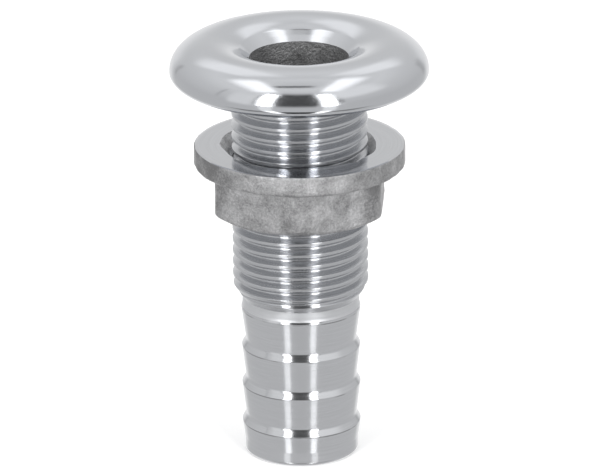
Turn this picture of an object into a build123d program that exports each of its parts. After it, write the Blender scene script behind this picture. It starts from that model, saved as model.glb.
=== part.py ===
from build123d import *
import os
from math import cos, radians, sin, tan

# A thru hull fitting: a rounded head that seats on the outside of a hull, a shank with a parallel pipe
# thread that goes through it, a barbed tail for a hose, and a flanged lock nut that clamps the hull from
# inside. Millimetres. The origin is the centre of the hose end, and +Z points up the waterway to the head.

# Waterway
BORE_R = 7.5

# Hose tail: each sharp rim steps in to a valley above it, which widens again to the next rim.
# The top rim is the shoulder.
RIM_COUNT = 4
RIM_SPACING = 6.08
LOWEST_RIM_Z = 4.87
RIM_R = 9.0
VALLEY_R = 8.38
BARB_STEP = 1.0
SHOULDER_R = 9.07
TAIL_END_R = 8.6
TAIL_STRAIGHT = 2.1
TAIL_EDGE = 0.5

# Neck between the shoulder and the thread
NECK_R = 8.87
NECK_Z = 23.75
THREAD_FOOT_Z = 24.97

# Thread: half inch parallel pipe thread, 14 turns to the inch, 55 degree flanks, rounded root
PITCH = 25.4 / 14
FLANK = radians(27.5)
PITCH_R = 19.793 / 2
ROOT_ROUND = 0.137329 * PITCH
SHANK_CREST_R = 10.28
SHANK_ALLOWANCE = 0.06
SHANK_GROOVE_Z = 55.377
FOOT_CHAMFER_HEIGHT = 2.23
RELIEF_R = 9.2
UNDER_HEAD_FILLET = 1.2

# Head: elliptical outline, widest at its equator. Its crest rolls over to the edge of a steeper conical
# throat, which opens the bore.
HEAD_R = 19.55
HEAD_UNDERSIDE_Z = 59.22
HEAD_EQUATOR_Z = 60.82
HEAD_TOP_Z = 65.43
CREST_R = 13.4
UNDERSIDE_R = 16.2
THROAT_R = 9.1
THROAT_Z = 64.22
MOUTH_Z = 62.75

# Lock nut
NUT_BOTTOM_Z = 38.54
NUT_FLANGE_Z = 45.82
NUT_TOP_Z = 48.97
FLANGE_R = 15.95
FLANGE_LOWER_EDGE = 0.6
FLANGE_UPPER_EDGE = 0.2
ACROSS_FLATS = 25.0
HEX_EDGE_R = 2.9
HEX_TURN = 26.7
RIM_CHAMFER_R = 12.3
RIM_CHAMFER_ANGLE = radians(30)
NUT_MINOR_R = 9.42
NUT_ALLOWANCE = 0.08
MOUTH_CHAMFER = 2.5
FOOT_CHAMFER = 1.2

# The flange is a ring that turns on a hub of the collar
HUB_R = 12.6
HUB_CLEARANCE = 0.05

# How far a cutter runs out into the air past what it cuts
OVERRUN = 1.0

ON_BASE = (Align.CENTER, Align.CENTER, Align.MIN)


def turned(*edges):
    """A solid of revolution about Z, from the edges of a closed outline given as (radius, height)."""
    return revolve(Plane.XZ * make_face(Curve() + list(edges)), axis=Axis.Z)


def turned_points(*points):
    """A solid of revolution about Z, from the corners of its outline given as (radius, height)."""
    return turned(Polyline(*points, close=True))


def rod(radius, low_z, high_z):
    """A plain cylinder on the axis."""
    return Pos(0, 0, low_z) * Cylinder(radius, high_z - low_z, align=ON_BASE)


def quarter(centre_z, centre_r, width, height, start):
    """A quarter of an ellipse, going anticlockwise in the (radius, height) plane from the angle start."""
    return EllipticalCenterArc((centre_r, centre_z), width, height, start, arc_size=90)


def thread_cutter(tip, allowance, base_r, front_z, low_z, high_z):
    """A helical ridge with the section of one thread groove.

    Its rounded tip points out (tip 1) or in (tip -1), and one of its turns passes the -Y side of the axis
    at the height front_z.
    """
    pitch_r = PITCH_R + allowance
    sharp_r = pitch_r + tip * PITCH / 4 / tan(FLANK)
    tangent_r = sharp_r - tip * ROOT_ROUND * cos(FLANK) ** 2 / sin(FLANK)
    tip_r = sharp_r - tip * (ROOT_ROUND / sin(FLANK) - ROOT_ROUND)
    round_half = ROOT_ROUND * cos(FLANK)
    base_half = abs(base_r - sharp_r) * tan(FLANK)
    section = make_face(
        Curve()
        + [
            Line((base_r, -base_half), (tangent_r, -round_half)),
            ThreePointArc((tangent_r, -round_half), (tip_r, 0), (tangent_r, round_half)),
            Line((tangent_r, round_half), (base_r, base_half)),
            Line((base_r, base_half), (base_r, -base_half)),
        ]
    )
    # a helix starts over +X and reaches the -Y side after three quarters of a turn
    turns_below = round((front_z - low_z) / PITCH)
    start_z = front_z - (turns_below + 0.75) * PITCH
    helix = Helix(pitch=PITCH, height=high_z - start_z, radius=pitch_r)
    return Pos(0, 0, start_z) * sweep(Plane.XZ * section, path=helix, is_frenet=True)


def hose_tail():
    """The barbed tail and the neck above it, solid, from the hose end to the foot of the thread."""
    outline = [(0, 0), (TAIL_END_R - TAIL_EDGE, 0), (TAIL_END_R, TAIL_EDGE), (TAIL_END_R, TAIL_STRAIGHT)]
    for rim in range(RIM_COUNT - 1):
        rim_z = LOWEST_RIM_Z + rim * RIM_SPACING
        outline += [(RIM_R, rim_z), (VALLEY_R, rim_z + BARB_STEP)]
    shoulder_z = LOWEST_RIM_Z + (RIM_COUNT - 1) * RIM_SPACING
    outline += [(SHOULDER_R, shoulder_z), (NECK_R, NECK_Z), (NECK_R, THREAD_FOOT_Z), (0, THREAD_FOOT_Z)]
    return turned_points(*outline)


def threaded_shank():
    """The shank with its outside thread, solid, chamfered where the thread runs out at both ends."""
    relief_z = HEAD_UNDERSIDE_Z - UNDER_HEAD_FILLET
    relief_depth = SHANK_CREST_R - RELIEF_R
    outer_r = SHANK_CREST_R + 2 * OVERRUN
    groove = thread_cutter(
        -1, -SHANK_ALLOWANCE, SHANK_CREST_R + 0.3, SHANK_GROOVE_Z, NECK_Z, relief_z + PITCH / 3
    )
    slope = (SHANK_CREST_R - NECK_R) / FOOT_CHAMFER_HEIGHT
    foot_chamfer = turned_points(
        (NECK_R - OVERRUN * slope, THREAD_FOOT_Z - OVERRUN),
        (outer_r, THREAD_FOOT_Z + (outer_r - NECK_R) / slope),
        (outer_r, THREAD_FOOT_Z - OVERRUN),
    )
    head_chamfer = turned_points(
        (RELIEF_R - OVERRUN, relief_z + OVERRUN),
        (SHANK_CREST_R + OVERRUN, relief_z - relief_depth - OVERRUN),
        (SHANK_CREST_R + OVERRUN, relief_z + OVERRUN),
    )
    return rod(SHANK_CREST_R, THREAD_FOOT_Z, relief_z) - groove - foot_chamfer - head_chamfer


def head():
    """The rounded head with its flared mouth and the fillet under it, bored through."""
    relief_z = HEAD_UNDERSIDE_Z - UNDER_HEAD_FILLET
    upper = HEAD_TOP_Z - HEAD_EQUATOR_Z
    lower = HEAD_EQUATOR_Z - HEAD_UNDERSIDE_Z
    return turned(
        Line((BORE_R, relief_z), (RELIEF_R, relief_z)),
        quarter(relief_z, RELIEF_R + UNDER_HEAD_FILLET, UNDER_HEAD_FILLET, UNDER_HEAD_FILLET, 90),
        Line((RELIEF_R + UNDER_HEAD_FILLET, HEAD_UNDERSIDE_Z), (UNDERSIDE_R, HEAD_UNDERSIDE_Z)),
        quarter(HEAD_EQUATOR_Z, UNDERSIDE_R, HEAD_R - UNDERSIDE_R, lower, -90),
        quarter(HEAD_EQUATOR_Z, CREST_R, HEAD_R - CREST_R, upper, 0),
        TangentArc((CREST_R, HEAD_TOP_Z), (THROAT_R, THROAT_Z), tangent=(-1, 0)),
        Line((THROAT_R, THROAT_Z), (BORE_R, MOUTH_Z)),
        Line((BORE_R, MOUTH_Z), (BORE_R, relief_z)),
    )


def fitting_body():
    """Head, shank and hose tail in one piece, with the waterway through it."""
    stem = hose_tail() + threaded_shank() - rod(BORE_R, 0, HEAD_UNDERSIDE_Z)
    return stem + head()


def hexagon():
    """The collar's hexagon with rounded upright edges and a conical chamfer under its corners."""
    flats = RegularPolygon(ACROSS_FLATS / 2, 6, major_radius=False, rotation=HEX_TURN)
    rounded = fillet(flats.vertices(), HEX_EDGE_R)
    cone_z = NUT_BOTTOM_Z + (ACROSS_FLATS - RIM_CHAMFER_R) * tan(RIM_CHAMFER_ANGLE)
    cone = turned_points(
        (0, NUT_BOTTOM_Z), (RIM_CHAMFER_R, NUT_BOTTOM_Z), (ACROSS_FLATS, cone_z), (0, cone_z)
    )
    return Pos(0, 0, NUT_BOTTOM_Z) * extrude(rounded, NUT_FLANGE_Z - NUT_BOTTOM_Z) & cone


def nut_collar():
    """The hexagon with the hub that carries the flange, threaded inside and chamfered at both mouths."""
    bore = turned_points(
        (0, NUT_BOTTOM_Z),
        (NUT_MINOR_R + FOOT_CHAMFER, NUT_BOTTOM_Z),
        (NUT_MINOR_R, NUT_BOTTOM_Z + FOOT_CHAMFER),
        (NUT_MINOR_R, NUT_TOP_Z - MOUTH_CHAMFER),
        (NUT_MINOR_R + MOUTH_CHAMFER, NUT_TOP_Z),
        (0, NUT_TOP_Z),
    )
    # the nut's groove lies over the crest of the shank's thread
    groove_z = SHANK_GROOVE_Z - PITCH / 2
    groove = thread_cutter(
        1, NUT_ALLOWANCE, NUT_MINOR_R - 0.2, groove_z, NUT_BOTTOM_Z - PITCH, NUT_TOP_Z + PITCH
    )
    return hexagon() + rod(HUB_R, NUT_FLANGE_Z, NUT_TOP_Z) - bore - groove


def nut_flange():
    """The nut's round flange, a ring around the hub."""
    inner_r = HUB_R + HUB_CLEARANCE
    bottom_z = NUT_FLANGE_Z + HUB_CLEARANCE
    return turned_points(
        (inner_r, bottom_z),
        (FLANGE_R - FLANGE_LOWER_EDGE, bottom_z),
        (FLANGE_R, bottom_z + FLANGE_LOWER_EDGE),
        (FLANGE_R, NUT_TOP_Z - FLANGE_UPPER_EDGE),
        (FLANGE_R - FLANGE_UPPER_EDGE, NUT_TOP_Z),
        (inner_r, NUT_TOP_Z),
    )


os.makedirs("parts", exist_ok=True)
export_step(fitting_body(), "parts/fitting_body.step")
export_step(nut_collar(), "parts/nut_collar.step")
export_step(nut_flange(), "parts/nut_flange.step")
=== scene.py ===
import math

import bmesh
import bpy
import numpy as np
from mathutils import Matrix, Vector, noise


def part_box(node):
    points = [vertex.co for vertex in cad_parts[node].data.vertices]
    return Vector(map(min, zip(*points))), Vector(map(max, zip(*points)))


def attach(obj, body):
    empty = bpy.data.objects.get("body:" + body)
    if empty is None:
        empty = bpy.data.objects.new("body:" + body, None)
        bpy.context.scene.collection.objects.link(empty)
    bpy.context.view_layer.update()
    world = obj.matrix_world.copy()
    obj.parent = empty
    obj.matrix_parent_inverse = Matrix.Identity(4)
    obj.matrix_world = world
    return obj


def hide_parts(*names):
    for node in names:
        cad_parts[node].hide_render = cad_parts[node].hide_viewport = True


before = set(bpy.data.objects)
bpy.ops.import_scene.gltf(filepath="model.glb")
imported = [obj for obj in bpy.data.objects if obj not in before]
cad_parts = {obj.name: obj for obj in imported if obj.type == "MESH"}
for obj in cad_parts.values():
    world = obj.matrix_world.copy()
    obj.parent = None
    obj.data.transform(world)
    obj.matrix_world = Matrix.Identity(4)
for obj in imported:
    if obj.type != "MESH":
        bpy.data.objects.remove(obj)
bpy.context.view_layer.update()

# Lengths are millimetres until a mesh is made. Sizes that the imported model's boxes show are read from them.
MM = 0.001
TURN = 2 * math.pi


def box_mm(node):
    low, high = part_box(node)
    return np.array(low) / MM, np.array(high) / MM


body_low, body_high = box_mm("fitting_body")
flange_low, flange_high = box_mm("nut_flange")
collar_low, collar_high = box_mm("nut_collar")

# Fitting
BORE_R = 7.5
HEAD_R = (body_high[0] - body_low[0]) / 2
HEAD_TOP_Z = body_high[2]
HEAD_EQUATOR_Z = HEAD_TOP_Z - 4.61
HEAD_UNDERSIDE_Z = HEAD_EQUATOR_Z - 1.6
CREST_R = 13.4
RIM_WIDTH = 4.2
RIM_HEIGHT = 2.2
THROAT_R = 9.1
THROAT_Z = HEAD_TOP_Z - 1.21
MOUTH_Z = HEAD_TOP_Z - 2.68
RELIEF_R = 9.2
UNDER_HEAD_FILLET = 1.2
RELIEF_Z = HEAD_UNDERSIDE_Z - UNDER_HEAD_FILLET
NECK_R = 8.87
NECK_Z = 23.75
THREAD_FOOT_Z = 24.97
FOOT_CHAMFER_HEIGHT = 2.23
RIM_Z = [4.87, 10.95, 17.03]
RIM_R = 9.0
VALLEY_R = 8.38
BARB_STEP = 1.0
SHOULDER_R = 9.07
SHOULDER_Z = 23.11
TAIL_END_R = 8.6
TAIL_STRAIGHT = 2.1
BORE_EDGE_Z = 0.5

# Thread
PITCH = 25.4 / 14
FLANK = math.radians(27.5)
PITCH_R = 19.793 / 2
ROOT_ROUND = 0.137329 * PITCH
SHANK_CREST_R = 10.28
SHANK_ALLOWANCE = 0.06
SHANK_GROOVE_Z = 55.377
NUT_ALLOWANCE = 0.08
NUT_MINOR_R = 9.42

# Lock nut
NUT_BOTTOM_Z = collar_low[2]
NUT_TOP_Z = flange_high[2]
FLANGE_Z = 45.82
FLANGE_R = (flange_high[0] - flange_low[0]) / 2
APOTHEM = 12.5
HEX_EDGE_R = 2.9
HEX_TURN = math.radians(26.7)  # azimuth of one of its upright edges
RIM_CHAMFER_R = 12.3
RIM_CHAMFER_ANGLE = math.radians(30)
MOUTH_CHAMFER = 2.5
FOOT_CHAMFER = 1.2
CAST_FILLET = 0.8
FLANGE_EDGE = 0.12

# Materials of each mesh, in the order of their slots
HEAD_FINISH, SHANK_FINISH, BORE_FINISH, TAIL_FINISH, NECK_FINISH, FLARE_FINISH = range(6)
CAST_FINISH, FACE_FINISH, MOUTH_FINISH, NUT_THREAD_FINISH = range(4)


# ---------------------------------------------------------------- outlines


def ellipse_arc(centre_r, centre_z, width, height, start, end, steps):
    """Points (radius, height) along part of an ellipse, angles in degrees."""
    a = np.radians(np.linspace(start, end, steps + 1))
    return np.column_stack([centre_r + width * np.cos(a), centre_z + height * np.sin(a)])


def rounded(points, steps=5):
    """Points along a polyline whose corners (radius, height, fillet) are rounded by their fillets."""
    xy = np.array([p[:2] for p in points], float)
    out = [xy[0]]
    for i in range(1, len(xy) - 1):
        fillet = points[i][2] if len(points[i]) > 2 else 0
        back, ahead = xy[i - 1] - xy[i], xy[i + 1] - xy[i]
        back_len, ahead_len = np.linalg.norm(back), np.linalg.norm(ahead)
        back, ahead = back / back_len, ahead / ahead_len
        half = math.acos(np.clip(back @ ahead, -1, 1)) / 2
        if fillet <= 0 or half > math.radians(89.5):
            out.append(xy[i])
            continue
        reach = min(fillet / math.tan(half), 0.48 * back_len, 0.48 * ahead_len)
        radius = reach * math.tan(half)
        middle = back + ahead
        middle /= np.linalg.norm(middle)
        centre = xy[i] + middle * radius / math.sin(half)
        first, last = xy[i] + back * reach - centre, xy[i] + ahead * reach - centre
        sweep = math.atan2(first[0] * last[1] - first[1] * last[0], first @ last)
        for t in np.linspace(0, sweep, steps + 1):
            c, s = math.cos(t), math.sin(t)
            out.append(centre + [first[0] * c - first[1] * s, first[0] * s + first[1] * c])
    out.append(xy[-1])
    return np.array(out)


def divided(points, longest):
    """The same polyline with its long runs divided evenly."""
    out = [points[0]]
    for a, b in zip(points[:-1], points[1:]):
        n = max(1, math.ceil(np.linalg.norm(b - a) / longest - 1e-9))
        out += [a + (b - a) * k / n for k in range(1, n + 1)]
    return np.array(out)


# ---------------------------------------------------------------- surfaces


class Surface:
    """A grid of points round the axis: rows of (radius, height) at evenly spaced columns.

    shift is how many rows a row climbs in one turn, zero for a surface of revolution.
    """

    def __init__(self, r, z, material, shift=0):
        self.r, self.z, self.material, self.shift = r, z, material, shift


def lathe(outline, columns, material):
    r = np.repeat(outline[:, :1], columns, axis=1)
    z = np.repeat(outline[:, 1:], columns, axis=1)
    return Surface(r, z, material)


def angles(columns):
    return np.arange(columns) * TURN / columns


def helical(low_z, high_z, groove_z, half_offsets, columns, radius_at, material):
    """A threaded wall between two plain rings. Its rows follow the helix, which keeps crests and roots clean.

    groove_z is the height of a groove's centre at angle 0, half_offsets are row heights from a groove's
    centre up to the crest's centre, and radius_at(height above the groove's centre, height) gives the wall's
    radius.
    """
    both_sides = {round(side * offset, 6) for offset in half_offsets for side in (-1, 1)}
    offsets = sorted(both_sides - {-round(PITCH / 2, 6)})
    first = math.floor((low_z - PITCH - groove_z) / PITCH) - 1
    turns = math.ceil((high_z - low_z) / PITCH) + 4
    base = np.array([groove_z + (first + k) * PITCH + o for k in range(turns) for o in offsets])
    start = np.searchsorted(base, low_z - PITCH) - 1
    end = np.searchsorted(base, high_z) + 2
    base = base[start:end]
    theta = angles(columns)
    height = base[:, None] + PITCH * theta[None, :] / TURN
    above = (height - PITCH * theta[None, :] / TURN - groove_z + PITCH / 2) % PITCH - PITCH / 2
    z = np.clip(height, low_z, high_z)
    above = above + (z - height)
    above = (above + PITCH / 2) % PITCH - PITCH / 2
    return Surface(radius_at(above, z), z, material, shift=len(offsets))


def soft_min(a, b, width):
    """The smaller of two values, with the corner between them rounded over the given width."""
    return np.minimum(a, b) - np.clip(width - np.abs(a - b), 0, None) ** 2 / (4 * width)


def thread_wall(above, pitch_r, tip):
    """Radius of a thread's groove at a height above its centre. tip is 1 for a nut and -1 for a shank."""
    sharp_r = pitch_r + tip * PITCH / 4 / math.tan(FLANK)
    h = np.abs(above)
    flank = sharp_r - tip * h / math.tan(FLANK)
    arc = sharp_r - tip * ROOT_ROUND / math.sin(FLANK)
    arc = arc + tip * np.sqrt(np.clip(ROOT_ROUND**2 - h**2, 0, None))
    return np.where(h < ROOT_ROUND * math.cos(FLANK), arc, flank)


def roughen(surface, amount, scale, seed):
    """Makes a cast surface uneven along its own normal, by an amount for each row."""
    rows, columns = surface.r.shape
    theta = angles(columns)
    slope_r = np.gradient(surface.r, axis=0)
    slope_z = np.gradient(surface.z, axis=0)
    size = np.hypot(slope_r, slope_z) + 1e-9
    radial, axial = slope_z / size, -slope_r / size
    amount = np.broadcast_to(np.asarray(amount, float).reshape(-1, 1), surface.r.shape)
    x, y = surface.r * np.cos(theta), surface.r * np.sin(theta)
    value = np.zeros_like(x)
    offset = Vector((seed * 7.3, seed * 3.1, seed * 5.7))
    for i in range(rows):
        if not amount[i].any():
            continue
        for j in range(columns):
            p = Vector((x[i, j], y[i, j], surface.z[i, j])) * scale + offset
            value[i, j] = noise.fractal(p, 0.9, 2.1, 4)
    surface.r = surface.r + radial * amount * value
    surface.z = surface.z + axial * amount * value


# faces that meet at more than this keep a sharp edge between them
SHARP_CORNER = math.radians(42)
# points closer than this, in metres, are the same point
SAME_POINT = 3e-7


def solid(name, surfaces, materials):
    """One closed mesh from surfaces that share their end rings, with a material per surface."""
    points, faces, kinds = [], [], []
    base = 0
    for s in surfaces:
        rows, columns = s.r.shape
        theta = angles(columns)
        x, y = s.r * np.cos(theta), s.r * np.sin(theta)
        points.append(np.stack([x, y, s.z], axis=2).reshape(-1, 3) * MM)
        row, col = np.meshgrid(np.arange(rows - 1), np.arange(columns), indexing="ij")
        lift = np.where(col == columns - 1, s.shift, 0)
        beside = (col + 1) % columns

        def index(r, c):
            return base + np.minimum(r, rows - 1) * columns + c

        quad = [
            index(row, col),
            index(row + lift, beside),
            index(row + 1 + lift, beside),
            index(row + 1, col),
        ]
        faces.append(np.stack(quad, axis=2).reshape(-1, 4))
        kinds.append(np.full(faces[-1].shape[0], s.material))
        base += rows * columns
    mesh = bpy.data.meshes.new(name)
    mesh.from_pydata(np.concatenate(points).tolist(), [], np.concatenate(faces).tolist())
    mesh.polygons.foreach_set("material_index", np.concatenate(kinds).astype(np.int32))
    work = bmesh.new()
    work.from_mesh(mesh)
    bmesh.ops.remove_doubles(work, verts=work.verts, dist=SAME_POINT)
    bmesh.ops.dissolve_degenerate(work, edges=work.edges, dist=1e-8)
    bmesh.ops.recalc_face_normals(work, faces=work.faces)
    open_edges = sum(1 for e in work.edges if len(e.link_faces) != 2)
    work.to_mesh(mesh)
    work.free()
    triangles = sum(len(p.vertices) - 2 for p in mesh.polygons)
    print(f"{name} {len(mesh.vertices)} points {triangles} triangles, {open_edges} open edges")
    mesh.shade_smooth()
    mesh.set_sharp_from_angle(angle=SHARP_CORNER)
    for material in materials:
        mesh.materials.append(material)
    piece = bpy.data.objects.new(name, mesh)
    bpy.context.scene.collection.objects.link(piece)
    weighted = piece.modifiers.new("even shading", "WEIGHTED_NORMAL")
    weighted.weight = 50
    weighted.keep_sharp = True
    return piece


# ---------------------------------------------------------------- materials


def socket(node, name, value):
    node.inputs[name].default_value = value


class Nodes:
    """Short calls for the nodes that materials and the world share."""

    def __init__(self, tree):
        self.nodes, self.links = tree.nodes, tree.links

    def link(self, a, b):
        self.links.new(a, b)

    def maths(self, operation, a, b=None):
        node = self.nodes.new("ShaderNodeMath")
        node.operation = operation
        for i, value in enumerate((a, b)):
            if value is None:
                continue
            if isinstance(value, (int, float)):
                node.inputs[i].default_value = value
            else:
                self.link(value, node.inputs[i])
        return node.outputs[0]

    def window(self, value, half, soft):
        """1 where a distance is inside half, fading to 0 over the soft edge outside it."""
        node = self.nodes.new("ShaderNodeMapRange")
        node.interpolation_type = "SMOOTHSTEP"
        ends = (("From Min", half), ("From Max", half + soft), ("To Min", 1), ("To Max", 0))
        for name, number in ends:
            socket(node, name, number)
        self.link(value, node.inputs["Value"])
        return node.outputs["Result"]


class Shader(Nodes):
    """A metal made of nodes, with short calls for the nodes that the steels share."""

    def __init__(self, name, colour, roughness, anisotropic=0.0):
        self.material = bpy.data.materials.new(name)
        self.material.use_nodes = True
        super().__init__(self.material.node_tree)
        self.shader = self.nodes["Principled BSDF"]
        socket(self.shader, "Base Color", (*colour, 1))
        socket(self.shader, "Metallic", 1.0)
        socket(self.shader, "Roughness", roughness)
        if anisotropic:
            # fine turning marks run round the axis, so they spread a highlight along it
            socket(self.shader, "Anisotropic", anisotropic)
            socket(self.shader, "Anisotropic Rotation", 0.25)
            tangent = self.nodes.new("ShaderNodeTangent")
            tangent.direction_type = "RADIAL"
            tangent.axis = "Z"
            self.link(tangent.outputs[0], self.shader.inputs["Tangent"])

    def position(self):
        """The place on the piece, in millimetres."""
        where = self.nodes.new("ShaderNodeTexCoord")
        scale = self.nodes.new("ShaderNodeVectorMath")
        scale.operation = "SCALE"
        socket(scale, "Scale", 1 / MM)
        self.link(where.outputs["Object"], scale.inputs[0])
        return scale.outputs[0]

    def turned_position(self, across, around):
        """Noise coordinates that change quickly across the turning marks and slowly along them."""
        split = self.nodes.new("ShaderNodeSeparateXYZ")
        self.link(self.position(), split.inputs[0])
        x, y, z = split.outputs
        square = self.maths("ADD", self.maths("MULTIPLY", x, x), self.maths("MULTIPLY", y, y))
        radius = self.maths("SQRT", square)
        turn = self.maths("ARCTAN2", y, x)
        join = self.nodes.new("ShaderNodeCombineXYZ")
        self.link(self.maths("MULTIPLY", radius, across), join.inputs[0])
        self.link(self.maths("MULTIPLY", z, across), join.inputs[1])
        self.link(self.maths("MULTIPLY", self.maths("COSINE", turn), around), join.inputs[2])
        return join.outputs[0], self.maths("MULTIPLY", self.maths("SINE", turn), around)

    def noise(self, vector, scale=1.0, detail=3.0, roughness=0.55, w=None):
        node = self.nodes.new("ShaderNodeTexNoise")
        node.noise_dimensions = "4D" if w is not None else "3D"
        socket(node, "Scale", scale)
        socket(node, "Detail", detail)
        socket(node, "Roughness", roughness)
        self.link(vector, node.inputs["Vector"])
        if w is not None:
            self.link(w, node.inputs["W"])
        return node.outputs["Fac"]

    def between(self, value, low, high, from_low=0.3, from_high=0.7):
        node = self.nodes.new("ShaderNodeMapRange")
        ends = (("From Min", from_low), ("From Max", from_high), ("To Min", low), ("To Max", high))
        for name, number in ends:
            socket(node, name, number)
        self.link(value, node.inputs["Value"])
        return node.outputs["Result"]

    def colour(self, value, stops):
        node = self.nodes.new("ShaderNodeValToRGB")
        ramp = node.color_ramp
        while len(ramp.elements) < len(stops):
            ramp.elements.new(0.5)
        for element, (place, shade) in zip(ramp.elements, stops):
            element.position = place
            element.color = (*shade, 1)
        self.link(value, node.inputs["Fac"])
        return node.outputs["Color"]

    def bump(self, height, distance, strength=1.0, below=None):
        node = self.nodes.new("ShaderNodeBump")
        socket(node, "Distance", distance * MM)
        socket(node, "Strength", strength)
        self.link(height, node.inputs["Height"])
        if below is not None:
            self.link(below, node.inputs["Normal"])
        return node.outputs["Normal"]

    def finish(self, colour=None, roughness=None, normal=None):
        for name, value in (("Base Color", colour), ("Roughness", roughness), ("Normal", normal)):
            if value is not None:
                self.link(value, self.shader.inputs[name])
        return self.material


def shaded(colour, share):
    return tuple(min(1, c * share) for c in colour)


def polished_steel(name, smoothest, roughest):
    s = Shader(name, (0.60, 0.613, 0.64), roughest)
    soft = s.noise(s.position(), 0.16, 2.0)
    fine = s.noise(s.position(), 2.2, 3.0)
    rough = s.between(fine, smoothest, roughest)
    normal = s.bump(soft, 0.03)
    return s.finish(roughness=rough, normal=normal)


TURNED_COLOUR = (0.60, 0.61, 0.632)


def turned_steel(name, roughness, depth, anisotropic, across=7.0, colour=TURNED_COLOUR, rim_shade=False):
    """Turned steel. across is how fine its marks are, and rim_shade paints shade as a dark band under each
    sharp rim of the barbs and the shoulder.
    """
    s = Shader(name, colour, roughness, anisotropic)
    vector, w = s.turned_position(across, 1.6)
    marks = s.noise(vector, 1.0, 4.0, 0.6, w)
    grain = s.noise(s.position(), 9.0, 2.0)
    from_marks = s.between(marks, roughness * 0.8, roughness * 1.25)
    rough = s.maths("ADD", from_marks, s.between(grain, -0.02, 0.02))
    shade = marks
    if rim_shade:
        # painted shade: a broken dark band just under the sharp rim where each taper ends, where shade falls
        split = s.nodes.new("ShaderNodeSeparateXYZ")
        s.link(s.position(), split.inputs[0])
        z = split.outputs[2]
        patchy = s.between(s.noise(s.position(), 0.22, 2.0), 0.0, 0.5, 0.35, 0.6)
        for rim_z in RIM_Z + [SHOULDER_Z]:
            off = s.maths("ABSOLUTE", s.maths("SUBTRACT", z, rim_z - 0.12))
            shade_band = s.maths("MULTIPLY", s.maths("LESS_THAN", off, 0.09), patchy)
            shade = s.maths("SUBTRACT", shade, shade_band)
    stops = [(0.0, shaded(colour, 0.55)), (0.3, shaded(colour, 0.95)), (0.7, shaded(colour, 1.03))]
    tone = s.colour(shade, stops)
    return s.finish(colour=tone, roughness=rough, normal=s.bump(marks, depth))


def cast_steel(name, colour, roughness, depth, dirt, dark_edges_and_side_shade=False):
    """Blasted casting. dirt is the shade of its hollows. dark_edges_and_side_shade darkens the hexagon's
    upright edges and paints shade on the flange's left side.
    """
    s = Shader(name, colour, roughness)
    where = s.position()
    grain = s.noise(where, 2.9, 4.0, 0.75)
    pits = s.noise(where, 1.9, 3.0, 0.6)
    blotch = s.noise(where, 0.32, 3.0, 0.55)
    mottle = s.maths("ADD", s.maths("MULTIPLY", grain, 0.52), s.maths("MULTIPLY", blotch, 0.48))
    # the hexagon's upright edges are darkened, and the flange's left side gets painted shade
    if dark_edges_and_side_shade:
        split = s.nodes.new("ShaderNodeSeparateXYZ")
        s.link(where, split.inputs[0])
        x, y, z = split.outputs
        turn = s.maths("MULTIPLY", s.maths("SUBTRACT", s.maths("ARCTAN2", y, x), HEX_TURN), 6.0)
        near_edge = s.between(s.maths("COSINE", turn), 0.0, 0.05, 0.35, 0.95)
        near_edge = s.maths("MULTIPLY", near_edge, s.maths("LESS_THAN", z, FLANGE_Z - 0.1))
        mottle = s.maths("SUBTRACT", mottle, near_edge)
        # painted shade darkens the flange's left side
        on_flange = s.maths("GREATER_THAN", z, FLANGE_Z)
        painted_side_shade = s.maths("MULTIPLY", s.between(x, 0.13, 0.0, -14.5, -9.0), on_flange)
        mottle = s.maths("SUBTRACT", mottle, painted_side_shade)
    tone = s.colour(mottle, [(0.36, shaded(colour, dirt)), (0.62, colour)])
    rough = s.between(blotch, roughness * 1.12, roughness * 0.88)
    normal = s.bump(pits, depth * 1.6, below=s.bump(grain, depth))
    return s.finish(colour=tone, roughness=rough, normal=normal)


POLISHED = polished_steel("polished_steel", smoothest=0.09, roughest=0.14)
FLARED = polished_steel("flared_steel", smoothest=0.12, roughest=0.16)
TURNED = turned_steel("turned_steel", roughness=0.16, depth=0.0015, anisotropic=0.7, rim_shade=True)
THREADED = turned_steel(
    "threaded_steel", roughness=0.23, depth=0.0015, anisotropic=0.9, colour=(0.54, 0.55, 0.57)
)
FACED = turned_steel("faced_steel", roughness=0.11, depth=0.0012, anisotropic=0.3, across=5.0)
CHAMFERED = cast_steel("chamfered_steel", (0.8, 0.8, 0.81), roughness=0.42, depth=0.07, dirt=0.5)
NECKED = turned_steel(
    "necked_steel", roughness=0.42, depth=0.006, anisotropic=0.3, across=4.0, colour=(0.66, 0.67, 0.69)
)
CAST = cast_steel("cast_steel", (0.58, 0.58, 0.59), roughness=0.47, depth=0.06, dirt=0.42, dark_edges_and_side_shade=True)
CAST_BORE = cast_steel("cast_bore", (0.5, 0.5, 0.505), roughness=0.55, depth=0.09, dirt=0.45)


# ---------------------------------------------------------------- the fitting

BODY_COLUMNS = 160
THREAD_ROWS = [0, 0.12, 0.221, 0.45, 0.645, 0.67, 0.69, 0.71, 0.74, PITCH / 2]


def shank_radius(above, z):
    """Radius of the shank's wall: its thread's groove, cut off by the crest and the chamfers at its ends."""
    foot = NECK_R + (SHANK_CREST_R - NECK_R) / FOOT_CHAMFER_HEIGHT * (z - THREAD_FOOT_Z)
    under_head = RELIEF_R + (RELIEF_Z - z)
    plain = np.minimum(np.minimum(foot, under_head), SHANK_CREST_R)
    groove = thread_wall(above, PITCH_R - SHANK_ALLOWANCE, -1)
    # the last ring is plain, so that it meets the fillet under the head
    at_head = z > RELIEF_Z - 1e-6
    return np.where((plain < groove - 0.2) | at_head, plain, soft_min(groove, plain, 0.08))


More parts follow.
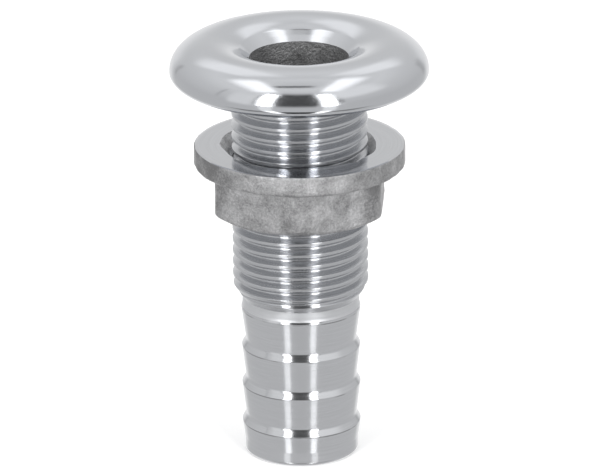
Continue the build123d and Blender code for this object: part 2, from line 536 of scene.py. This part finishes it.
def mouth_flare():
    """The roll from the level crest down to the throat's edge, and the steeper throat down to the bore."""
    run, drop = CREST_R - THROAT_R, HEAD_TOP_Z - THROAT_Z
    roll_slope = 2 * math.atan2(drop, run)
    roll_r = run / math.sin(roll_slope)
    roll_end = 90 + math.degrees(roll_slope)
    roll = ellipse_arc(CREST_R, HEAD_TOP_Z - roll_r, roll_r, roll_r, 90, roll_end, 24)
    # the throat swells a little halfway down
    swell_r, swell_z = (THROAT_R + BORE_R) / 2, (THROAT_Z + MOUTH_Z) / 2 + 0.025
    edge = rounded(
        [tuple(roll[-3]), (THROAT_R, THROAT_Z, 1.6), (swell_r, swell_z, 9.0), (BORE_R, MOUTH_Z)], 7
    )
    return divided(np.concatenate([roll[:-2], edge[1:]]), 0.3)


def head_wall():
    """The head's outside, from the fillet over the thread round the rim and up to the crest."""
    fillet_r = RELIEF_R + UNDER_HEAD_FILLET
    under_fillet = ellipse_arc(fillet_r, RELIEF_Z, UNDER_HEAD_FILLET, UNDER_HEAD_FILLET, 180, 90, 8)
    # the rim's lower curve meets the flat underside at a corner
    corner = -math.degrees(math.asin((HEAD_EQUATOR_Z - HEAD_UNDERSIDE_Z) / RIM_HEIGHT))
    lower = ellipse_arc(HEAD_R - RIM_WIDTH, HEAD_EQUATOR_Z, RIM_WIDTH, RIM_HEIGHT, corner, 0, 14)
    underside = np.concatenate([under_fillet, lower[:1]])
    upper_height = HEAD_TOP_Z - HEAD_EQUATOR_Z
    upper = ellipse_arc(CREST_R, HEAD_EQUATOR_Z, HEAD_R - CREST_R, upper_height, 0, 90, 30)
    outline = np.concatenate([divided(underside, 0.7), lower[1:], upper[1:]])
    return lathe(outline, BODY_COLUMNS, HEAD_FINISH)


def bore_wall():
    """The rough bore from the mouth down, with its rows closer where more of it is seen."""
    seen_z, last_z = MOUTH_Z - 16, 6.0
    near = np.linspace(MOUTH_Z, seen_z, 33)
    deep = np.linspace(seen_z, last_z, 18)[1:]
    last = np.linspace(last_z, BORE_EDGE_Z, 9)[1:]
    heights = np.concatenate([near, deep, last])
    wall = lathe(np.column_stack([np.full(len(heights), BORE_R), heights]), BODY_COLUMNS, BORE_FINISH)
    # the roughness fades out towards both ends, so that the end rings meet their neighbours
    from_end = np.minimum(MOUTH_Z - heights, heights - BORE_EDGE_Z)
    roughen(wall, np.clip(from_end / 0.8, 0, 1) * 0.05, 0.9, 1.0)
    return wall


def tail_and_neck():
    """The barbed tail from the edge of the bore up to the shoulder, and the neck up to the thread."""
    outline = [
        (BORE_R, BORE_EDGE_Z),
        (BORE_R + 0.3, 0, 0.1),
        (TAIL_END_R - 0.45, 0, 0.35),
        (TAIL_END_R, 0.45, 0.35),
        (TAIL_END_R, TAIL_STRAIGHT, 0.6),
    ]
    for z in RIM_Z:
        outline += [(RIM_R, z, 0.14), (VALLEY_R, z + BARB_STEP, 0.9)]
    # the tail's finish ends halfway up the shoulder's slope
    halfway = ((SHOULDER_R + NECK_R) / 2, (SHOULDER_Z + NECK_Z) / 2)
    outline += [(SHOULDER_R, SHOULDER_Z, 0.12), halfway]
    tail = lathe(divided(rounded(outline, 7), 0.9), BODY_COLUMNS, TAIL_FINISH)
    neck_line = rounded([halfway, (NECK_R, NECK_Z, 0.5), (NECK_R, THREAD_FOOT_Z)])
    neck = lathe(divided(neck_line, 0.3), BODY_COLUMNS, NECK_FINISH)
    return tail, neck


def fitting():
    groove_z = SHANK_GROOVE_Z - 0.75 * PITCH
    shank = helical(
        THREAD_FOOT_Z, RELIEF_Z, groove_z, THREAD_ROWS, BODY_COLUMNS, shank_radius, SHANK_FINISH
    )
    flare = lathe(mouth_flare(), BODY_COLUMNS, FLARE_FINISH)
    surfaces = [shank, head_wall(), flare, bore_wall(), *tail_and_neck()]
    finishes = [POLISHED, THREADED, CAST_BORE, TURNED, NECKED, FLARED]
    return solid("thru_hull_fitting", surfaces, finishes)


# ---------------------------------------------------------------- the lock nut

NUT_COLUMNS = 360
NUT_THREAD_ROWS = [0, 0.12, 0.221, 0.45, 0.66, 0.72, 0.76, 0.80, PITCH / 2]


def nut_radius(above, z):
    """Radius of the nut's bore: its thread's groove, or the minor radius and the chamfer at each end."""
    foot = NUT_MINOR_R + FOOT_CHAMFER - (z - NUT_BOTTOM_Z)
    mouth = NUT_MINOR_R + MOUTH_CHAMFER - (NUT_TOP_Z - z)
    plain = np.maximum(np.maximum(foot, mouth), NUT_MINOR_R)
    groove = thread_wall(above, PITCH_R + NUT_ALLOWANCE, 1)
    return np.where(plain > groove + 0.2, plain, -soft_min(-groove, -plain, 0.06))


def hexagon_radius(theta):
    """Distance from the axis to the hexagon's rounded outline."""
    sixth = TURN / 6
    from_flat = (theta - HEX_TURN) % sixth - sixth / 2
    from_edge = sixth / 2 - np.abs(from_flat)
    centre = (APOTHEM - HEX_EDGE_R) / math.cos(sixth / 2)
    on_edge = np.abs(from_flat) > math.atan2(centre * math.sin(sixth / 2), APOTHEM)
    reach = np.sqrt(np.clip(HEX_EDGE_R**2 - (centre * np.sin(from_edge)) ** 2, 0, None))
    return np.where(on_edge, centre * np.cos(from_edge) + reach, APOTHEM / np.cos(from_flat))


def ring(value):
    """One row of the nut's grids, the same all round."""
    return np.full(NUT_COLUMNS, value)


def cast_wall():
    """The cast outside: conical rim, upright faces, the fillet under the flange, and the flange's edge."""
    hexagon = hexagon_radius(angles(NUT_COLUMNS))
    fillet_z = FLANGE_Z - CAST_FILLET
    rim_rows = np.linspace(NUT_BOTTOM_Z + 0.12, NUT_BOTTOM_Z + 1.6, 14)
    face_rows = np.linspace(NUT_BOTTOM_Z + 1.6, fillet_z, 18)[1:]
    heights = np.concatenate([rim_rows, face_rows])
    cone = RIM_CHAMFER_R + (heights - NUT_BOTTOM_Z) / math.tan(RIM_CHAMFER_ANGLE)
    r = soft_min(np.repeat(hexagon[None, :], len(heights), axis=0), cone[:, None], 0.45)
    z = np.repeat(heights[:, None], NUT_COLUMNS, axis=1)
    turn = np.radians(np.linspace(0, 90, 9))[1:]
    r_fillet = r[-1][None, :] + CAST_FILLET * (1 - np.cos(turn))[:, None]
    z_fillet = np.repeat((fillet_z + CAST_FILLET * np.sin(turn))[:, None], NUT_COLUMNS, axis=1)
    edge_line = [
        (FLANGE_R - 1.2, FLANGE_Z),
        (FLANGE_R, FLANGE_Z + 0.06, 0.55),
        (FLANGE_R, NUT_TOP_Z - FLANGE_EDGE),
    ]
    edge = divided(rounded(edge_line, 7), 0.4)
    share = np.linspace(0, 1, 5)[1:-1, None]
    r_under = r_fillet[-1] * (1 - share) + edge[0, 0] * share
    z_under = np.full_like(r_under, FLANGE_Z)
    r_edge = np.repeat(edge[:, :1], NUT_COLUMNS, axis=1)
    z_edge = np.repeat(edge[:, 1:], NUT_COLUMNS, axis=1)
    all_r = np.concatenate([r, r_fillet, r_under, r_edge])
    all_z = np.concatenate([z, z_fillet, z_under, z_edge])
    wall = Surface(all_r, all_z, CAST_FINISH)
    roughen(wall, np.full(len(wall.r), 0.07), 0.55, 2.0)
    # the top edge is broken by two narrow bevels
    wall.z[-1] = NUT_TOP_Z - FLANGE_EDGE
    edge_r = wall.r[-1]
    for inward, down in ((0.04, 0.05), (0.11, 0.0)):
        wall.r = np.concatenate([wall.r, [edge_r - inward]])
        wall.z = np.concatenate([wall.z, [ring(NUT_TOP_Z - down)]])
    return wall


def ground_rim():
    """Radius of the mouth's rim all round. It was ground by hand, so it wanders and has flats."""
    theta = angles(NUT_COLUMNS)
    wander = np.array(
        [noise.fractal(Vector((2.2 * math.cos(a), 2.2 * math.sin(a), 4.0)), 1.0, 2.0, 3) for a in theta]
    )
    corners = np.array([noise.noise(Vector((1.7 * math.cos(a), 1.7 * math.sin(a), 9.0))) for a in theta])
    return NUT_MINOR_R + MOUTH_CHAMFER + 0.2 - 1.1 * np.abs(corners) + 0.2 * wander


def top_face(edge_r, edge_z, mouth_rim):
    """The flange's machined top, from its edge in to the mouth's rim."""
    shares = np.linspace(0, 1, 9)[1:]
    r = [edge_r] + [edge_r * (1 - share) + mouth_rim * share for share in shares]
    z = [edge_z] + [ring(NUT_TOP_Z) for _ in shares]
    return Surface(np.array(r), np.array(z), FACE_FINISH)


def lock_nut():
    root_mouth = NUT_MINOR_R + FOOT_CHAMFER
    wall = cast_wall()
    mouth_rim = ground_rim()
    face = top_face(wall.r[-1], wall.z[-1], mouth_rim)
    mouth_top = NUT_TOP_Z - MOUTH_CHAMFER + FOOT_CHAMFER
    down = np.linspace(0, 1, 9)[:, None]
    r_mouth = mouth_rim[None, :] * (1 - down) + root_mouth * down
    z_mouth = np.repeat(NUT_TOP_Z * (1 - down) + mouth_top * down, NUT_COLUMNS, axis=1)
    mouth = Surface(r_mouth, z_mouth, MOUTH_FINISH)
    roughen(mouth, 0.07 * np.sin(np.pi * down[:, 0]), 0.8, 3.0)
    groove_z = SHANK_GROOVE_Z - 1.25 * PITCH
    thread = helical(
        NUT_BOTTOM_Z, mouth_top, groove_z, NUT_THREAD_ROWS, NUT_COLUMNS, nut_radius, NUT_THREAD_FINISH
    )
    bottom_line = np.linspace(root_mouth, RIM_CHAMFER_R - 0.2, 5)
    r_bottom = np.concatenate([[ring(r) for r in bottom_line], wall.r[:1]])
    z_bottom = np.concatenate([[ring(NUT_BOTTOM_Z) for _ in bottom_line], wall.z[:1]])
    bottom = Surface(r_bottom, z_bottom, FACE_FINISH)
    surfaces = [wall, face, mouth, thread, bottom]
    return solid("flanged_lock_nut", surfaces, [CAST, FACED, CHAMFERED, THREADED])


body = fitting()
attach(body, "fitting")
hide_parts("fitting_body")

nut = lock_nut()
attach(nut, "nut")
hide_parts("nut_collar", "nut_flange")


# ---------------------------------------------------------------- studio

ELEVATION = math.radians(19.7)
ROLL = math.radians(0.43)
DISTANCE = 1.1
LENS = 435.6
SENSOR = 36.0
AIM = Vector((-0.00006, 0, 0.03385))


def add_camera():
    data = bpy.data.cameras.new("camera")
    data.sensor_width = SENSOR
    data.lens = LENS
    data.clip_start, data.clip_end = 0.05, 50
    camera = bpy.data.objects.new("camera", data)
    bpy.context.scene.collection.objects.link(camera)
    back = Vector((0, -math.cos(ELEVATION), math.sin(ELEVATION)))
    right = Vector((1, 0, 0))
    up = back.cross(right)
    tilted_right = right * math.cos(ROLL) - up * math.sin(ROLL)
    tilted_up = up * math.cos(ROLL) + right * math.sin(ROLL)
    place = Matrix((tilted_right, tilted_up, back)).transposed().to_4x4()
    place.translation = AIM + back * DISTANCE
    camera.matrix_world = place
    bpy.context.scene.camera = camera


def area_light(name, place, size, radiance, target):
    data = bpy.data.lights.new(name, "AREA")
    data.shape = "RECTANGLE"
    data.size, data.size_y = size
    data.energy = radiance * math.pi * size[0] * size[1]
    light = bpy.data.objects.new(name, data)
    bpy.context.scene.collection.objects.link(light)
    light.location = place
    light.rotation_mode = "QUATERNION"
    light.rotation_quaternion = (Vector(target) - Vector(place)).to_track_quat("-Z", "Y")
    light.visible_camera = False
    return light


def plane(name, corners, material):
    mesh = bpy.data.meshes.new(name)
    mesh.from_pydata(corners, [], [(0, 1, 2, 3)])
    mesh.materials.append(material)
    card = bpy.data.objects.new(name, mesh)
    bpy.context.scene.collection.objects.link(card)
    return card


def glow(name, radiance, soft=None):
    """A glowing card. soft has, for each side, the shares of it over which its two ends fade out."""
    material = bpy.data.materials.new(name)
    material.use_nodes = True
    nodes = material.node_tree.nodes
    nodes.clear()
    emission = nodes.new("ShaderNodeEmission")
    socket(emission, "Color", (1, 1, 1, 1))
    socket(emission, "Strength", radiance)
    if soft:
        tree = Nodes(material.node_tree)
        where = nodes.new("ShaderNodeTexCoord")
        split = nodes.new("ShaderNodeSeparateXYZ")
        tree.link(where.outputs["Generated"], split.inputs[0])
        share = 1.0
        for value, edges in zip(split.outputs, soft):
            for far_end, edge in zip((False, True), edges):
                inside = tree.maths("SUBTRACT", 1.0, value) if far_end else value
                fade = tree.window(tree.maths("SUBTRACT", edge, inside), 0.0, edge)
                share = tree.maths("MULTIPLY", fade, share)
        clear = nodes.new("ShaderNodeBsdfTransparent")
        mix = nodes.new("ShaderNodeMixShader")
        tree.link(share, mix.inputs[0])
        tree.link(clear.outputs[0], mix.inputs[1])
        tree.link(emission.outputs[0], mix.inputs[2])
        emission = mix
    out = nodes.new("ShaderNodeOutputMaterial")
    material.node_tree.links.new(emission.outputs[0], out.inputs[0])
    return material


def around(azimuth, distance, z):
    """A point at an azimuth in degrees from the camera's side, positive to the right."""
    a = math.radians(azimuth)
    return Vector((distance * math.sin(a), -distance * math.cos(a), z))


# Radiance of the studio by elevation in degrees, and the value that the ramp's colours are a share of
ELEVATION_STOPS = [
    (-90, 0.66),
    (-42, 0.69),
    (0, 0.68),
    (14, 0.74),
    (30, 0.8),
    (48, 0.92),
    (62, 0.84),
    (72, 0.92),
    (82, 0.84),
    (90, 0.8),
]
BRIGHTEST = 1.1
# Soft patches of the studio as the object sees it: azimuth and elevation of the middle, half widths and soft
# edges in degrees, and the radiance that the patch brings the surroundings to.
PATCHES = [
    # the dark gap where the camera stands, with a soft top and foot
    (-2, 27, 17.5, 20, 2.5, 16, 0.1),
    # the darkness low in front, which only the thread's grooves see
    (0, -55, 70, 5, 25, 6, 0.3),
    (-2, -58, 18, 10, 3, 7, 0.04),
    # black edges beside the strips
    (-40.5, 24, 0.8, 14, 1.6, 12, 0.42),
    (37.5, 22, 1.6, 10, 2.2, 10, 0.34),
    # lit corners behind the object
    (-158, 46, 9, 7, 10, 12, 1.2),
    (154, 46, 7, 6, 10, 12, 1.2),
    # shaded corners
    (-140, 6, 0.8, 6, 3, 9, 0.55),
    (144, 4, 2, 6, 6, 10, 0.54),
    (-77, 22, 0.7, 10, 1.2, 12, 0.55),
    # the floor behind the object is brighter than at its sides
    (180, -20, 24, 24, 16, 18, 0.95),
    # panels beside the strips
    (-54, 18, 7, 14, 8, 16, 0.95),
    (62, 40, 16, 8, 20, 14, 1.05),
]
# The dark slot overhead, in the unit sphere's own axes: middle, half widths and soft edges across and along
# the view, and its radiance
SLOT = (-0.05, -0.105, 0.12, 0.034, 0.1, 0.05, 0.2)


class Sky(Nodes):
    """The studio seen from the object, as a node tree on the world."""

    def away(self, value, middle):
        return self.maths("ABSOLUTE", self.maths("SUBTRACT", value, middle))

    def blend(self, below, share, radiance):
        """Brings a value to the radiance by a share."""
        step = self.maths("MULTIPLY", share, self.maths("SUBTRACT", radiance, below))
        return self.maths("ADD", below, step)


def sky_radiance(sky):
    """Radiance of the surroundings by direction: a ramp by elevation, the patches, and the overhead slot."""
    where = sky.nodes.new("ShaderNodeTexCoord")
    split = sky.nodes.new("ShaderNodeSeparateXYZ")
    sky.link(where.outputs["Generated"], split.inputs[0])
    x, y, z = split.outputs
    ramp = sky.nodes.new("ShaderNodeValToRGB")
    sky.link(sky.maths("ADD", sky.maths("MULTIPLY", z, 0.5), 0.5), ramp.inputs["Fac"])
    elements = ramp.color_ramp.elements
    while len(elements) < len(ELEVATION_STOPS):
        elements.new(0.5)
    for element, (angle, value) in zip(elements, ELEVATION_STOPS):
        element.position = 0.5 + 0.5 * math.sin(math.radians(angle))
        grey = value / BRIGHTEST
        element.color = (grey, grey, grey, 1)
    radiance = sky.maths("MULTIPLY", ramp.outputs["Color"], BRIGHTEST)
    degrees = 180 / math.pi
    azimuth = sky.maths("MULTIPLY", sky.maths("ARCTAN2", x, sky.maths("MULTIPLY", y, -1)), degrees)
    elevation = sky.maths("MULTIPLY", sky.maths("ARCSINE", z), degrees)
    for az, el, az_half, el_half, az_soft, el_soft, target in PATCHES:
        turn = sky.away(azimuth, az)
        turn = sky.maths("MINIMUM", turn, sky.maths("SUBTRACT", 360, turn))
        in_azimuth = sky.window(turn, az_half, az_soft)
        in_elevation = sky.window(sky.away(elevation, el), el_half, el_soft)
        share = sky.maths("MULTIPLY", in_azimuth, in_elevation)
        radiance = sky.blend(radiance, share, target)
    across, along, across_half, along_half, across_soft, along_soft, target = SLOT
    in_across = sky.window(sky.away(x, across), across_half, across_soft)
    in_along = sky.window(sky.away(y, along), along_half, along_soft)
    share = sky.maths("MULTIPLY", in_across, in_along)
    share = sky.maths("MULTIPLY", share, sky.maths("GREATER_THAN", z, 0))
    return sky.blend(radiance, share, target)


# The two upright strips: azimuth of each, and the height of their middles
STRIPS = {"left": -30.0, "right": 26.4}
STRIP_DISTANCE = 0.9
STRIP_SIZE = (0.195, 1.08)
STRIP_Z = 0.56
STRIP_RADIANCE = 6.0
# Each strip's faint image in the floor, as cards: name, lowest and highest z, radiance
FLOOR_GLOWS = [("floor_glow", -0.7, 0.02, 1.15), ("deep_glow", -2.2, -0.7, 2.7)]
# The soft boxes overhead: side, x nearest to and farthest from the object, and y of the far end
OVERHEADS = [("left", -0.22, -0.72, 0.34), ("right", 0.22, 0.62, 0.42)]
OVERHEAD_Z = 0.95
OVERHEAD_NEAR_Y = -0.56
OVERHEAD_RADIANCE = 1.7
# Shares of an overhead box over which it fades: its inner and outer side, and its near and far end
OVERHEAD_SIDES = (0.12, 0.6)
OVERHEAD_ENDS = (0.2, 0.25)
FLOOR_HALF = 6


def add_world():
    world = bpy.data.worlds.new("studio")
    bpy.context.scene.world = world
    world.use_nodes = True
    tree = world.node_tree
    nodes, links = tree.nodes, tree.links
    nodes.clear()
    studio_light = nodes.new("ShaderNodeBackground")
    links.new(sky_radiance(Sky(tree)), studio_light.inputs["Strength"])
    socket(studio_light, "Color", (1, 1, 1, 1))
    seen = nodes.new("ShaderNodeBackground")
    socket(seen, "Color", (1, 1, 1, 1))
    path = nodes.new("ShaderNodeLightPath")
    mix = nodes.new("ShaderNodeMixShader")
    out = nodes.new("ShaderNodeOutputWorld")
    links.new(path.outputs["Is Camera Ray"], mix.inputs[0])
    links.new(studio_light.outputs[0], mix.inputs[1])
    links.new(seen.outputs[0], mix.inputs[2])
    links.new(mix.outputs[0], out.inputs[0])
    world.cycles.sampling_method = "NONE"


def upright_card(name, azimuth, half_turn, low, high, distance, radiance):
    """A glowing card that only reflections see, upright at a distance."""
    left, right = azimuth - half_turn, azimuth + half_turn
    corners = [
        around(left, distance, low),
        around(right, distance, low),
        around(right, distance, high),
        around(left, distance, high),
    ]
    card = plane(name, corners, glow(name, radiance))
    card.visible_camera = False
    card.visible_shadow = False
    return card


def add_strips():
    for side, azimuth in STRIPS.items():
        middle = around(azimuth, STRIP_DISTANCE, STRIP_Z)
        area_light(f"strip_{side}", middle, STRIP_SIZE, STRIP_RADIANCE, target=(0, 0, STRIP_Z))
        half_turn = math.degrees(STRIP_SIZE[0] / 2 / STRIP_DISTANCE)
        for name, low_z, high_z, radiance in FLOOR_GLOWS:
            low = upright_card(
                f"{name}_{side}", azimuth, half_turn, low_z, high_z, STRIP_DISTANCE, radiance
            )
            low.visible_diffuse = False
            low.data.materials[0].cycles.emission_sampling = "NONE"


def add_overheads():
    for side, inner, outer, far in OVERHEADS:
        corners = [
            (inner, OVERHEAD_NEAR_Y, OVERHEAD_Z),
            (outer, OVERHEAD_NEAR_Y, OVERHEAD_Z),
            (outer, far, OVERHEAD_Z),
            (inner, far, OVERHEAD_Z),
        ]
        # a card's own share runs from low x to high x, so the left box takes its sides the other way round
        sides = OVERHEAD_SIDES if outer > 0 else OVERHEAD_SIDES[::-1]
        name = f"overhead_{side}"
        box = plane(name, corners, glow(name, OVERHEAD_RADIANCE, soft=(sides, OVERHEAD_ENDS)))
        box.visible_camera = False
        box.visible_shadow = False


def add_floor():
    floor_finish = bpy.data.materials.new("floor")
    floor_finish.use_nodes = True
    shader = floor_finish.node_tree.nodes["Principled BSDF"]
    socket(shader, "Base Color", (0.98, 0.98, 0.98, 1))
    socket(shader, "Roughness", 0.9)
    socket(shader, "Specular IOR Level", 0.1)
    socket(shader, "Emission Color", (1, 1, 1, 1))
    socket(shader, "Emission Strength", 0.14)
    half = FLOOR_HALF
    corners = [(-half, -half, 0), (half, -half, 0), (half, half, 0), (-half, half, 0)]
    floor = plane("floor", corners, floor_finish)
    # reflections see the lower half of the surroundings and the strips' cards in place of the floor
    floor.visible_glossy = False


add_camera()
add_world()
add_strips()
add_overheads()
add_floor()
bpy.context.scene.view_settings.view_transform = "Standard"

bpy.context.view_layer.update()
